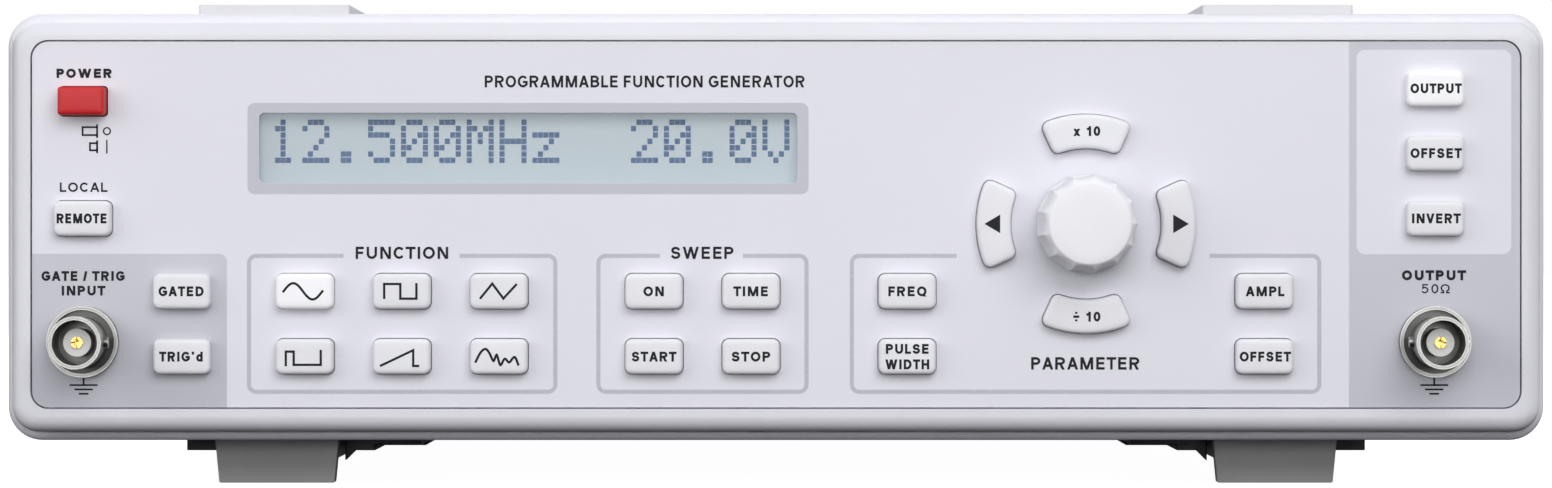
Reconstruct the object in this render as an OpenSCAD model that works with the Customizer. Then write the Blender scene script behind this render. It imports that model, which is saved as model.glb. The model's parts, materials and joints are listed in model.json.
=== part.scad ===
// Half-rack bench function generator: a painted front frame and printed panel,
// a sheet-steel sleeve, a rear frame with its sockets, and the parts inside.
// X runs to the right seen from the front, the front faces -Y, Z is up.
// The origin is the middle of the bounding box, on the bench.

/* [Case] */
// Width over the front frame
bezel_w = 285; // [285:0.5:290]
// Height of the front frame
bezel_h = 79.1; // [79.1:0.1:82]
// Height of the front frame's lower edge above the bench
bezel_z = 9; // [8.5:0.1:9.2]
// Depth from the front frame's face to the rear frame's face
body_d = 365; // [350:1:400]
// Width of the sheet-steel sleeve
sleeve_w = 281; // [280:0.1:281.5]
// Height of the sheet-steel sleeve
sleeve_h = 75; // [74.6:0.1:75.4]
// Thickness of the sleeve's sheet
sheet = 1.2; // [0.8:0.1:1.4]
// Outer corner radius of the front and rear frames
frame_r = 6.3; // [5:0.1:7]

/* [Front panel] */
// Width of the panel opening in the front frame
opening_w = 274.8; // [274:0.1:275.4]
// Height of the panel opening in the front frame
opening_h = 68; // [67:0.1:68.5]
// Corner radius of the panel opening
opening_r = 3.3; // [2:0.1:4]
// Gap between the panel and the frame, all round
panel_gap = 0.3; // [0.2:0.05:0.4]
// How far the panel lies behind the frame's face
panel_inset = 0.35; // [0.2:0.05:0.5]
// Panel thickness
panel_t = 2; // [1.6:0.1:2.2]
// Width of the display window
window_w = 99.3; // [96:0.1:100]
// Height of the display window
window_h = 13; // [12:0.1:14]

/* [Keys] */
// Width of a key's face
key_w = 10.4; // [10:0.1:10.8]
// Height of a key's face
key_h = 6.3; // [6:0.1:6.8]
// Corner radius of a key's face
key_r = 1.2; // [0.6:0.1:1.8]
// How far a key stands in front of the panel
key_proud = 2.5; // [2:0.1:3]
// Gap between a key and its hole in the panel
key_gap = 0.25; // [0.2:0.05:0.35]
// Distance between neighbouring key columns
key_pitch = 17.85; // [17:0.05:18]
// Inner radius of the keys round the knob
arc_in_r = 14; // [13:0.1:14.5]
// Outer radius of the keys round the knob
arc_out_r = 20.1; // [19.5:0.1:20.4]
// Angle that a key round the knob spans
arc_span = 49; // [40:1:52]

/* [Knob and button] */
// Radius of the knob at its base
knob_r = 9.25; // [8:0.05:9.5]
// Radius of the knob at its face
knob_face_r = 8.35; // [7.6:0.05:8.6]
// How far the knob stands in front of the panel
knob_proud = 13.6; // [12:0.1:14]
// Number of flutes round the knob
knob_flutes = 13; // [12:1:18]
// Radius of the encoder shaft
shaft_r = 3; // [2.8:0.05:3.1]
// Width of the power button
power_w = 8.5; // [8:0.1:9]
// Height of the power button
power_h = 5.2; // [4.8:0.1:5.6]
// How far the power button stands out when it is released
power_proud = 4.5; // [4.2:0.1:5]

/* [Feet] */
// Distance of each foot from the middle
foot_x = 94.5; // [90:0.5:96]
// Width of a foot
foot_w = 36; // [34:0.5:38]
// Width of a tilt leg at the top of its toe
leg_w = 23.8; // [22:0.1:24]
// Distance of the toes behind the front frame's face
toe_v = 25; // [22:1:30]
// Distance of the tilt legs' pivots behind the front frame's face
pivot_v = 64; // [60:1:70]
// Distance of the rear feet behind the front frame's face
rear_foot_v = 202; // [180:1:260]
// Height of the stacking pads' tops above the bench
pad_top = 90.7; // [90:0.1:92]

/* [Hidden] */
$fn = 48;
eps = 0.01;

// Plan along the depth. v is a distance behind the front frame's face.
bnc_proud = 12;                              // barrel in front of its panel
rear_recess = 2;                             // rear panel inside the rear frame
panel_back = panel_inset + panel_t;
knob_front = panel_inset - knob_proud;
rear_face = body_d - rear_recess;            // outer face of the rear panel
front_y = -(knob_front + rear_face + bnc_proud) / 2;
bead_d = 6;                                  // rounded front part of the front frame
ring_end = 13;                               // end of the front frame's outer ring
spigot_end = 24;                             // end of the front frame inside the sleeve
rear_ring = body_d - ring_end;
board_v = 10;                                // keypad board
board_t = 1.6;
board_w = 270;
board_h = 64;
switch_v = 5.6;                              // front of the key switches

// Plan across the height.
mid_z = bezel_z + bezel_h / 2;
panel_z = 49;                                // middle of the panel and its opening
sleeve_bottom = mid_z - sleeve_h / 2;
sleeve_top = mid_z + sleeve_h / 2;
rail_bottom = 16;
rail_top = 81;
rail_t = 2;
rail_flange = 10;
main_z = rail_bottom + rail_t;               // underside of the main board

// Inside of the sleeve and of the frames' spigots.
inner_w = sleeve_w - 2 * sheet;
inner_h = sleeve_h - 2 * sheet;
spigot_gap = 0.3;
spigot_t = 3;
spigot_w = inner_w - 2 * spigot_gap;
spigot_h = inner_h - 2 * spigot_gap;
rail_x = spigot_w / 2 - spigot_t - rail_t / 2;

// Places on the front panel.
row_1 = 24.7;
row_2 = 36.7;
row_3 = 50.1;
row_4 = 62.1;
row_5 = 74;
remote_x = -127.6;
gated_x = -109.3;
function_x = -86.7;
sweep_x = -22.45;
freq_x = 24.15;
ampl_x = 89.9;
output_x = 121.3;
socket_z = 27.4;
power_z = 71.7;
knob_x = 57.1;
knob_z = 49.1;
window_x = -45.65;
window_z = 63.1;
arc_mid_r = (arc_in_r + arc_out_r) / 2;
straight_keys = [
    [remote_x, row_3], [gated_x, row_2], [gated_x, row_1],
    for (i = [0 : 2], z = [row_1, row_2]) [function_x + i * key_pitch, z],
    for (i = [0 : 1], z = [row_1, row_2]) [sweep_x + i * key_pitch, z],
    for (x = [freq_x, ampl_x], z = [row_1, row_2]) [x, z],
    for (z = [row_3, row_4, row_5]) [output_x, z]
];
arc_angles = [0, 90, 180, 270];
stem_r = 1.6;
stem_play = 0.15;
push_rod_r = 2;
switch_front = 290;                          // mains switch at the rear
switch_w = 2 * (remote_x + rail_x - rail_t / 2);

// Coaxial socket, 50 ohm bayonet type.
bnc_r = 4.8;
bnc_land = 4;                                // full-diameter stretch ahead of the lugs
bnc_waist_r = 4.6;
bnc_bore_r = 4.15;
bnc_collar_r = 6.55;
bnc_thread_r = 4.6;
bnc_thread_d = 7;
bnc_floor = 3;                               // cavity floor in front of the panel
bnc_lug_r = 1;
bnc_lug_span = 11;
bnc_lug_back = 5.2;                          // lug axis behind the barrel's mouth
bnc_dielectric_r = 2.55;
bnc_contact_r = 1.05;
rear_bnc_x = [52, 78, 104];
rear_bnc_z = 63;

// Mains inlet, IEC C14 with a fuse drawer above it.
inlet_x = -103;
inlet_z = 47;
inlet_w = 28;
inlet_h = 34;
inlet_d = 30;
recess_w = 24.6;
recess_h = 16.6;
recess_d = 17;
recess_drop = 6;                             // recess centre below the inlet centre
drawer_w = 21;
drawer_h = 6.8;
drawer_d = 22;
drawer_rise = 10.5;                          // drawer centre above the inlet centre

// Rear interface plate.
plate_x = 55;
plate_z = 33;
plate_w = 72;
plate_h = 24;

// Feet.
base_bottom = 6;
base_d = 40;
base_v = 33;
cheek_w = (foot_w - leg_w - 0.6) / 2;
pivot_z = 7.8;
pivot_r = 1.2;
leg_end_r = 2;
arm_bottom = 4.6;
arm_t = 5;
toe_top = 10.4;
toe_lift = 0.2;                              // folded toe clear of the bench
toe_t = 4;
rest_w = 11;                                 // fixed rest between the leg's arms
rest_v = 31;
rest_d = 20;
wing_w = 8.7;
rear_foot_d = 60;

// Screws.
screw_r = 1.5;
screw_head_r = 2.4;
frame_screw_x = bezel_w / 2 - 4.1;
frame_screw_z = bezel_h / 2 - 4.1;

// ---------------------------------------------------------------- helpers

// Moves children to x, to v behind the front frame's face, and to height z.
module at(x, v, z) translate([x, front_y + v, z]) children();

// Moves children onto the rear panel, turned so that their front faces back.
module at_rear(x, z) at(x, rear_face, z) rotate([0, 0, 180]) children();

// Rectangle with true round corners, centred.
module rounded_rect(w, h, r) {
    square([w - 2 * r, h], center = true);
    square([w, h - 2 * r], center = true);
    for (sx = [-1, 1], sy = [-1, 1])
        translate([sx * (w / 2 - r), sy * (h / 2 - r)]) circle(r);
}

// Stands a flat shape up to face the front, from y = 0 back to y = d.
module upright(d) translate([0, d, 0]) rotate([90, 0, 0]) linear_extrude(d) children();

// Upright plate with rounded corners, its front at y = 0.
module plate(w, d, h, r) upright(d) rounded_rect(w, h, r);

// Upright box centred on X and Z, its front at y = 0.
module block(w, d, h) translate([-w / 2, 0, -h / 2]) cube([w, d, h]);

// Cylinder along Y, from y = 0 back to y = d.
module rod(r, d) rotate([-90, 0, 0]) cylinder(r = r, h = d);

// Half section of a slab's edge: flat face, then a quarter round.
module edge_section(r, d, edge) {
    square([r - edge, d]);
    translate([0, edge]) square([r, d - edge]);
    intersection() {
        translate([r - edge, edge]) circle(edge);
        translate([r - edge, 0]) square([edge, edge]);
    }
}

// Upright slab with rounded corners and a rounded front edge.
module soft_slab(w, h, r, d, edge) rotate([-90, 0, 0]) {
    cx = w / 2 - r;
    cy = h / 2 - r;
    translate([-cx, -cy, 0]) cube([2 * cx, 2 * cy, d]);
    for (i = [0 : 3]) {
        reach = i % 2 == 0 ? cx : cy;
        run = i % 2 == 0 ? cy : cx;
        rotate([0, 0, 90 * i]) {
            translate([reach, run, 0]) rotate([90, 0, 0])
                linear_extrude(2 * run) edge_section(r, d, edge);
            translate([reach, run, 0]) rotate_extrude(angle = 90) edge_section(r, d, edge);
        }
    }
}

// Key shape round the knob, centred on the angle, with soft corners.
module arc_shape(angle, grow) {
    corner = 1.3;
    big = 2 * arc_out_r;
    half = arc_span / 2;
    rotate(angle) offset(r = corner + grow) offset(delta = -corner) intersection() {
        difference() {
            circle(arc_out_r, $fn = 96);
            circle(arc_in_r, $fn = 96);
        }
        polygon([[0, 0], [big * cos(half), -big * sin(half)], [big * cos(half), big * sin(half)]]);
    }
}

// ---------------------------------------------------------------- case

module front_frame() color([0.86, 0.86, 0.88]) difference() {
    ring_edge = 1.3;
    bead_inset = 1.4;
    union() {
        at(0, 0, mid_z)
            soft_slab(bezel_w - 2 * bead_inset, bezel_h - 2.5 * bead_inset, 4.9, bead_d, 3);
        at(0, bead_d, mid_z)
            soft_slab(bezel_w, bezel_h, frame_r, ring_end - bead_d, ring_edge);
        at(0, ring_end, mid_z) plate(spigot_w, spigot_end - ring_end, spigot_h, 3);
    }
    at(0, -1, panel_z) plate(opening_w, 1 + panel_back, opening_h, opening_r);
    at(0, panel_back - eps, panel_z) plate(opening_w - 7, ring_end, opening_h - 5, 2.5);
    at(0, board_v, panel_z) plate(board_w + 0.4, ring_end, board_h + 0.4, 2.5);
    at(0, ring_end, mid_z)
        block(spigot_w - 2 * spigot_t, spigot_end, spigot_h - 2 * spigot_t);
}

module front_panel() color([0.87, 0.87, 0.9]) difference() {
    at(0, panel_inset, panel_z)
        plate(opening_w - 2 * panel_gap, panel_t, opening_h - 2 * panel_gap, opening_r - panel_gap);
    for (k = straight_keys)
        at(k[0], 0, k[1]) plate(key_w + 2 * key_gap, 4, key_h + 2 * key_gap, key_r + key_gap);
    for (a = arc_angles)
        at(knob_x, 0, knob_z) upright(4) arc_shape(a, key_gap);
    at(knob_x, 0, knob_z) rod(4.5, 4);
    at(remote_x, 0, power_z) plate(power_w + 2 * key_gap, 4, power_h + 2 * key_gap, 0.8);
    for (x = [remote_x, output_x]) at(x, 0, socket_z) rod(bnc_thread_r + 0.05, 4);
    at(window_x, 0, window_z) plate(window_w, 4, window_h, 1.1);
}

module case_sleeve() color([0.84, 0.84, 0.87]) difference() {
    slot_w = 44;
    slot_h = 3;
    slot_pitch = 7;
    slot_start = rear_foot_v + rear_foot_d + 6;
    length = rear_ring - ring_end;
    at(0, ring_end, mid_z) plate(sleeve_w, length, sleeve_h, 4);
    at(0, ring_end - 1, mid_z) plate(inner_w, length + 2, inner_h, 4 - sheet);
    for (x = [-80, 0, 80], i = [0 : 9])
        at(x, slot_start + slot_pitch * i, sleeve_bottom - 1) linear_extrude(sleeve_h + 2)
            rounded_rect(slot_w, slot_h, slot_h / 2 - 0.05);
    for (i = [0 : 9])
        at(-sleeve_w / 2 - 1, slot_start + slot_pitch * i, mid_z) rotate([0, 90, 0])
            linear_extrude(sleeve_w + 2) rounded_rect(34, slot_h, slot_h / 2 - 0.05);
}

module rear_frame() color([0.86, 0.86, 0.88]) difference() {
    union() {
        at(0, body_d, mid_z) rotate([0, 0, 180])
            soft_slab(bezel_w, bezel_h, frame_r, ring_end, 1.7);
        at(0, rear_ring - 8, mid_z) plate(spigot_w, 8, spigot_h, 3);
    }
    at(0, rear_ring - 9, mid_z)
        block(spigot_w - 2 * spigot_t, 9 + ring_end - 6, spigot_h - 2 * spigot_t);
    at(0, body_d - 7, mid_z) plate(spigot_w - 2 * spigot_t - 6, 8, spigot_h - 2 * spigot_t - 6, 2);
    at(0, body_d - 4, mid_z) plate(spigot_w - 2 * spigot_t, 5, spigot_h - 2 * spigot_t, 3);
    for (sx = [-1, 1], sz = [-1, 1])
        at(sx * frame_screw_x, body_d - 8, mid_z + sz * frame_screw_z) rod(screw_r + 0.05, 9);
}

module rear_panel() color([0.8, 0.8, 0.82]) difference() {
    at(0, rear_face - 2, mid_z)
        plate(spigot_w - 2 * spigot_t - 0.6, 2, spigot_h - 2 * spigot_t - 0.6, 2.7);
    at(inlet_x, rear_face - 3, inlet_z) block(inlet_w + 0.6, 4, inlet_h + 0.6);
    for (x = rear_bnc_x) at(x, rear_face - 3, rear_bnc_z) rod(bnc_thread_r + 0.05, 4);
    at(plate_x, rear_face - 3, plate_z) block(plate_w - 10, 4, plate_h - 7);
}

module side_rails() color([0.75, 0.76, 0.78]) for (s = [-1, 1]) {
    length = rear_ring - ring_end - 8;
    height = rail_top - rail_bottom;
    at(s * rail_x, ring_end, (rail_top + rail_bottom) / 2) block(rail_t, length, height);
    for (z = [rail_bottom + rail_t / 2, rail_top - rail_t / 2])
        at(s * (rail_x - (rail_t + rail_flange) / 2), spigot_end, z)
            block(rail_flange, length - 2 * spigot_end, rail_t);
}

// ---------------------------------------------------------------- display

module display_window() color([0.8, 0.88, 0.9, 0.4])
    at(window_x, panel_back, window_z) plate(window_w + 5, 1, window_h + 5, 1.5);

module lcd_glass() color([0.72, 0.79, 0.8])
    at(window_x, 3.7, window_z) block(108, 2.2, 19);

module lcd_module() color([0.2, 0.22, 0.24]) {
    difference() {
        at(window_x, 3.7, window_z) block(114, 2.2, 24.5);
        at(window_x, 3, window_z) block(108.4, 4, 19.4);
    }
    at(window_x, 5.9, window_z) block(118, board_v - 5.9, 25.5);
}

// ---------------------------------------------------------------- keys

// Switch behind the key at x, z, with a bore for the key's stem.
module key_switch(x, z) at(x, switch_v, z) difference() {
    block(6.2, board_v - switch_v, 6.2);
    translate([0, -1, 0]) rod(stem_r + stem_play, 3);
}

module key_switches() color([0.15, 0.15, 0.16]) {
    for (k = straight_keys) key_switch(k[0], k[1]);
    for (a = arc_angles) key_switch(knob_x + arc_mid_r * cos(a), knob_z + arc_mid_r * sin(a));
}

module keypad_board() color([0.1, 0.35, 0.2]) difference() {
    at(0, board_v, panel_z) plate(board_w, board_t, board_h, 2.3);
    for (x = [remote_x, output_x]) at(x, board_v - 1, socket_z) rod(8, 4);
    at(remote_x, board_v - 1, power_z) rod(push_rod_r + 0.6, 4);
}

// Key cap with a retaining rim behind the panel; its face is at y = 0.
module straight_key(x, z) color([0.9, 0.9, 0.92]) at(x, panel_inset - key_proud, z) {
    rim_front = key_proud + panel_t + 0.4;
    rim_t = 0.9;
    plate(key_w, rim_front + rim_t, key_h, key_r);
    translate([0, rim_front, 0]) block(key_w + 1.8, rim_t, key_h + 1.8);
    translate([0, rim_front + rim_t - eps, 0]) rod(stem_r, 2.5);
}

// Key round the knob at an angle, with the same rim and stem.
module arc_key(angle) color([0.9, 0.9, 0.92]) at(knob_x, panel_inset - key_proud, knob_z) {
    rim_front = key_proud + panel_t + 0.4;
    rim_t = 0.9;
    upright(rim_front + rim_t) arc_shape(angle, 0);
    translate([0, rim_front, 0]) upright(rim_t) arc_shape(angle, 0.9);
    translate([arc_mid_r * cos(angle), rim_front + rim_t - eps, arc_mid_r * sin(angle)])
        rod(stem_r, 2.5);
}

module key_local() straight_key(remote_x, row_3);
module key_gated() straight_key(gated_x, row_2);
module key_trig() straight_key(gated_x, row_1);
module key_sine() straight_key(function_x, row_2);
module key_square() straight_key(function_x + key_pitch, row_2);
module key_triangle() straight_key(function_x + 2 * key_pitch, row_2);
module key_pulse() straight_key(function_x, row_1);
module key_sawtooth() straight_key(function_x + key_pitch, row_1);
module key_arbitrary() straight_key(function_x + 2 * key_pitch, row_1);
module key_sweep_on() straight_key(sweep_x, row_2);
module key_sweep_time() straight_key(sweep_x + key_pitch, row_2);
module key_sweep_start() straight_key(sweep_x, row_1);
module key_sweep_stop() straight_key(sweep_x + key_pitch, row_1);
module key_freq() straight_key(freq_x, row_2);
module key_pulse_width() straight_key(freq_x, row_1);
module key_amplitude() straight_key(ampl_x, row_2);
module key_param_offset() straight_key(ampl_x, row_1);
module key_cursor_right() arc_key(0);
module key_times_ten() arc_key(90);
module key_cursor_left() arc_key(180);
module key_divide_ten() arc_key(270);
module key_output() straight_key(output_x, row_5);
module key_dc_offset() straight_key(output_x, row_4);
module key_invert() straight_key(output_x, row_3);

// ---------------------------------------------------------------- knob and power

module encoder_body() color([0.3, 0.32, 0.34]) at(knob_x, 0, knob_z) difference() {
    union() {
        translate([0, 4.4, 0]) block(13, board_v - 4.4, 12);
        translate([0, 0.2, 0]) rod(4.3, 4.3);
    }
    translate([0, -1, 0]) rod(shaft_r + 0.04, board_v);
}

module encoder_shaft() color([0.7, 0.7, 0.72])
    at(knob_x, knob_front + 3.5, knob_z) rod(shaft_r, board_v - 1.6 - knob_front - 3.5);

module parameter_knob() color([0.93, 0.93, 0.95]) at(knob_x, 0, knob_z) difference() {
    back = -0.4;
    dome = 1.6;
    flute_r = 3.2;
    rotate([90, 0, 0]) rotate_extrude($fn = 96) {
        polygon([
            [0, -back], [knob_r, -back], [knob_face_r + 0.1, -knob_front - dome],
            for (a = [15 : 15 : 90])
                [knob_face_r + 0.1 - dome * (1 - cos(a)), -knob_front - dome * (1 - sin(a))],
            [0, -knob_front]
        ]);
    }
    for (i = [0 : knob_flutes - 1])
        rotate([0, i * 360 / knob_flutes, 0])
            translate([knob_r + flute_r - 0.55, back - 1.5, 0]) rotate([90, 0, 4])
                cylinder(r = flute_r, h = knob_proud + 4);
    translate([0, knob_front + 3.5, 0]) rod(shaft_r, knob_proud);
}

module power_button() color([0.75, 0.16, 0.17]) at(remote_x, panel_inset - power_proud, power_z) {
    rim_front = power_proud + panel_t + 0.4;
    plate(power_w, rim_front + 1, power_h, 0.6);
    translate([0, rim_front, 0]) block(power_w + 1.6, 1, power_h + 1.6);
}

module power_push_rod() color([0.85, 0.85, 0.83])
    at(remote_x, panel_back + 1.4, power_z) rod(push_rod_r, 300 - panel_back - 1.4);

module mains_switch() color([0.12, 0.12, 0.13]) at(remote_x, switch_front, power_z) difference() {
    block(switch_w, 32, 12.4);
    translate([0, -1, 0]) rod(push_rod_r + 0.08, 17);
}

// ---------------------------------------------------------------- sockets

// Bayonet socket on a panel face at y = 0, its mouth at y = -bnc_proud.
module bnc_shell() difference() {
    union() {
        translate([0, -bnc_proud, 0]) rod(bnc_r, bnc_land);
        translate([0, -bnc_proud, 0]) rod(bnc_waist_r, bnc_proud);
        translate([0, -2.2, 0]) rod(bnc_collar_r, 2.2);
        rod(bnc_thread_r, bnc_thread_d);
        translate([-bnc_lug_span / 2, bnc_lug_back - bnc_proud, 0]) rotate([0, 90, 0])
            cylinder(r = bnc_lug_r, h = bnc_lug_span);
    }
    translate([0, -bnc_proud - 1, 0]) rod(bnc_bore_r, bnc_proud + 1 - bnc_floor);
    translate([0, -bnc_floor - 1, 0]) rod(bnc_dielectric_r, bnc_thread_d + bnc_floor + 2);
    translate([0, -3, 0]) difference() {
        rod(bnc_collar_r - 0.65, 2.2);
        translate([0, -1, 0]) rod(bnc_waist_r, 4);
    }
}

module bnc_insulator() difference() {
    translate([0, 3.5 - bnc_proud, 0]) rod(bnc_dielectric_r, bnc_proud - 3.5 + bnc_thread_d);
    translate([0, -bnc_proud, 0]) rod(bnc_contact_r, bnc_proud + bnc_thread_d + 1);
}

module bnc_contact() difference() {
    translate([0, 3 - bnc_proud, 0]) rod(bnc_contact_r, bnc_proud - 3 + bnc_thread_d + 2);
    translate([0, 2.9 - bnc_proud, 0]) rod(0.6, 4);
    for (a = [0, 90])
        translate([0, 2.9 - bnc_proud, 0]) rotate([0, a, 0]) block(3, 3, 0.3);
}

// Puts children at all five sockets.
module at_sockets() {
    for (x = [remote_x, output_x]) at(x, panel_inset, socket_z) children();
    for (x = rear_bnc_x) at_rear(x, rear_bnc_z) children();
}

module gate_input_socket() color([0.72, 0.72, 0.7]) at(remote_x, panel_inset, socket_z) bnc_shell();
module output_socket() color([0.72, 0.72, 0.7]) at(output_x, panel_inset, socket_z) bnc_shell();
module rear_sockets() color([0.72, 0.72, 0.7]) for (x = rear_bnc_x) at_rear(x, rear_bnc_z) bnc_shell();
module socket_insulators() color([0.8, 0.8, 0.78]) at_sockets() bnc_insulator();
module socket_contacts() color([0.85, 0.7, 0.3]) at_sockets() bnc_contact();

module recess_shape() {
    cut = 5;
    w = recess_w / 2;
    h = recess_h / 2;
    polygon([[-w, -h], [w, -h], [w, h - cut], [w - cut, h], [cut - w, h], [-w, h - cut]]);
}

module mains_inlet() color([0.1, 0.1, 0.11]) at_rear(inlet_x, inlet_z) {
    difference() {
        union() {
            translate([0, -rear_recess, 0]) plate(inlet_w + 5, rear_recess, inlet_h + 5, 2);
            block(inlet_w, inlet_d, inlet_h);
        }
        translate([0, -rear_recess - 1, -recess_drop]) upright(recess_d + 1) recess_shape();
        translate([0, -rear_recess - 1, drawer_rise])
            block(drawer_w + 0.6, drawer_d + 2, drawer_h + 0.6);
    }
    for (p = [[-7, -2], [7, -2], [0, 2]])
        translate([p[0], 1.5 - rear_recess, p[1] - recess_drop]) block(2, recess_d - 1.5, 4);
}

module fuse_drawer() color([0.14, 0.14, 0.15]) at_rear(inlet_x, inlet_z + drawer_rise) {
    difference() {
        translate([0, -rear_recess - 0.3, 0]) block(drawer_w, drawer_d, drawer_h);
        translate([0, 3, drawer_h / 2 - 2]) block(drawer_w - 3, drawer_d - 7, drawer_h);
    }
    translate([0, -rear_recess - 1.5, 0]) block(drawer_w + 2, 1.2, drawer_h + 1.8);
}

module interface_module() color([0.75, 0.75, 0.76]) at_rear(plate_x, plate_z) {
    translate([0, -1.2, 0]) difference() {
        plate(plate_w, 1.2, plate_h, 1);
        translate([-17, -1, 0]) block(12.1, 4, 11.1);
        translate([13, -1, 0]) block(17, 4, 8.4);
        for (s = [-1, 1]) translate([s * (plate_w / 2 - 3), -1, 0]) rod(screw_r, 4);
    }
    translate([-17, -2, 0]) difference() {
        block(12.1, 16, 11.1);
        translate([0, -1, 0]) block(8.5, 10, 7.8);
    }
    translate([-17, -1, 0]) block(5.6, 8, 3.2);
    translate([13, -6, 0]) difference() {
        block(17, 16, 8.4);
        translate([0, -1, 0]) block(15.6, 2, 7);
    }
}

// ---------------------------------------------------------------- inside

module main_board() color([0.12, 0.38, 0.22])
    at(0, 30, main_z + board_t / 2) block(2 * rail_x - rail_t - 1, 296, board_t);

module board_components() color([0.2, 0.2, 0.22]) {
    top = main_z + board_t;
    for (i = [0 : 5], j = [0 : 3])
        at(-110 + 24 * i, 45 + 30 * j, top + 2) block(8 + 3 * (i % 2), 18, 4);
    for (i = [0 : 4]) at(-20 + 17 * i, 205, top) cylinder(r = 6, h = 20);
    for (i = [0 : 3]) at(-18 + 22 * i, 240, top) cylinder(r = 8, h = 30);
    for (i = [0 : 2]) at(-10 + 30 * i, 270, top + 5) block(20, 12, 10);
    at(70, 45, top + 9) block(60, 70, 18);
    at(0, 31, top + 4) block(40, 8, 8);
}

module transformer() color([0.5, 0.4, 0.25]) {
    bottom = main_z + board_t;
    at(-88, 220, bottom + 21) difference() {
        block(44, 52, 42);
        for (s = [-1, 1]) translate([s * 12.5, 0, 0]) rotate([-90, 0, 0])
            translate([0, 0, -1]) linear_extrude(54) square([9, 26], center = true);
    }
    difference() {
        at(-88, 214, bottom + 21) block(33.8, 64, 25.8);
        at(-88, 219.9, bottom + 21) block(16.2, 52.2, 30);
    }
}

module heat_sink() color([0.78, 0.79, 0.8]) {
    bottom = main_z + board_t;
    at(88, 140, bottom + 2) block(66, 60, 4);
    for (i = [0 : 10])
        at(88 + 6.4 * (i - 5), 140, bottom + 4 + 14) block(1.6, 60, 28);
}

module wiring() color([0.6, 0.6, 0.62]) {
    ribbon_front = board_v + board_t;
    ribbon_z = main_z + board_t + 8;
    at(0, ribbon_front, ribbon_z + 0.4) block(34, 31 + 4 - ribbon_front, 0.8);
    for (s = [-1, 1]) mains_lead(remote_x + 2.5 * s, 344 + 3 * s, inlet_z + 5 * s);
}

// Lead from the back of the mains switch: back, down, then across to the inlet.
module mains_lead(x, v, z) {
    lead_r = 1.1;
    switch_back = switch_front + 32;
    at(x, switch_back, power_z) rod(lead_r, v - switch_back);
    at(x, v, z) cylinder(r = lead_r, h = power_z - z);
    at(x, v, z) rotate([0, 90, 0]) cylinder(r = lead_r, h = inlet_x - inlet_w / 2 - x);
    for (corner = [power_z, z]) at(x, v, corner) sphere(lead_r);
}

// ---------------------------------------------------------------- feet

module foot_bases() color([0.09, 0.09, 0.1]) for (s = [-1, 1]) at(s * foot_x, base_v, 0) {
    plate_t = 1;
    height = sleeve_bottom - base_bottom;
    wing_h = sleeve_bottom - 7;
    gusset = 2;
    translate([0, 0, sleeve_bottom - plate_t / 2]) block(foot_w, base_d, plate_t);
    for (c = [-1, 1])
        translate([c * (foot_w - cheek_w) / 2, 0, sleeve_bottom - height / 2]) difference() {
            block(cheek_w, base_d, height);
            translate([-cheek_w, pivot_v - base_v, pivot_z - sleeve_bottom + height / 2])
                rotate([0, 90, 0]) cylinder(r = pivot_r + 0.06, h = 2 * cheek_w);
        }
    translate([0, rest_v - base_v, (sleeve_bottom - plate_t + eps) / 2])
        block(rest_w, rest_d, sleeve_bottom - plate_t + eps);
    translate([-s * (foot_w + wing_w) / 2, 0, sleeve_bottom - wing_h / 2])
        block(wing_w, base_d, wing_h);
    translate([-s * (foot_w / 2 - cheek_w), 0, base_bottom]) mirror([s > 0 ? 1 : 0, 0, 0])
        upright(3) polygon([[0, 0], [gusset, 0], [0, -gusset]]);
}

// Tilt leg folded forward: a toe, two arms, and stub pins at the pivot.
module tilt_leg() {
    arm_w = leg_w - 1.8;
    arm_z = (arm_bottom + pivot_z + leg_end_r) / 2;
    translate([0, toe_v + toe_t, 0]) rotate([90, 0, 0]) linear_extrude(toe_t)
        polygon([
            [-leg_w / 2, toe_top], [leg_w / 2, toe_top],
            [leg_w / 2 - 1, toe_lift], [1 - leg_w / 2, toe_lift]
        ]);
    for (c = [-1, 1])
        translate([c * (arm_w - arm_t) / 2, toe_v + toe_t - eps, arm_z])
            block(arm_t, pivot_v - toe_v - toe_t, pivot_z + leg_end_r - arm_bottom);
    translate([-arm_w / 2, pivot_v, pivot_z]) rotate([0, 90, 0]) cylinder(r = leg_end_r, h = arm_w);
    translate([-arm_w / 2 - 4, pivot_v, pivot_z]) rotate([0, 90, 0])
        cylinder(r = pivot_r, h = arm_w + 8);
}

module left_tilt_leg() color([0.42, 0.42, 0.43]) at(-foot_x, 0, 0) tilt_leg();
module right_tilt_leg() color([0.42, 0.42, 0.43]) at(foot_x, 0, 0) tilt_leg();

module rear_feet() color([0.09, 0.09, 0.1]) for (s = [-1, 1]) at(s * foot_x, rear_foot_v, 0) {
    half = foot_w / 2;
    translate([0, rear_foot_d, 0]) rotate([90, 0, 0]) linear_extrude(rear_foot_d)
        polygon([[2.5 - half, 0], [half - 2.5, 0], [half, 2.5], [half, sleeve_bottom],
            [-half, sleeve_bottom], [-half, 2.5]]);
}

module stacking_pads() color([0.88, 0.88, 0.9])
    for (s = [-1, 1], v = [toe_v, rear_foot_v + 4]) at(s * 95, v, (sleeve_top + pad_top) / 2)
        block(28.5, 38, pad_top - sleeve_top);

module pan_screw(length) {
    translate([0, -1.6, 0]) difference() {
        rod(screw_head_r, 1.6);
        for (a = [0, 90]) rotate([0, a, 0]) translate([0, -1, 0]) block(3, 2, 0.6);
    }
    rod(screw_r, length);
}

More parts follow.
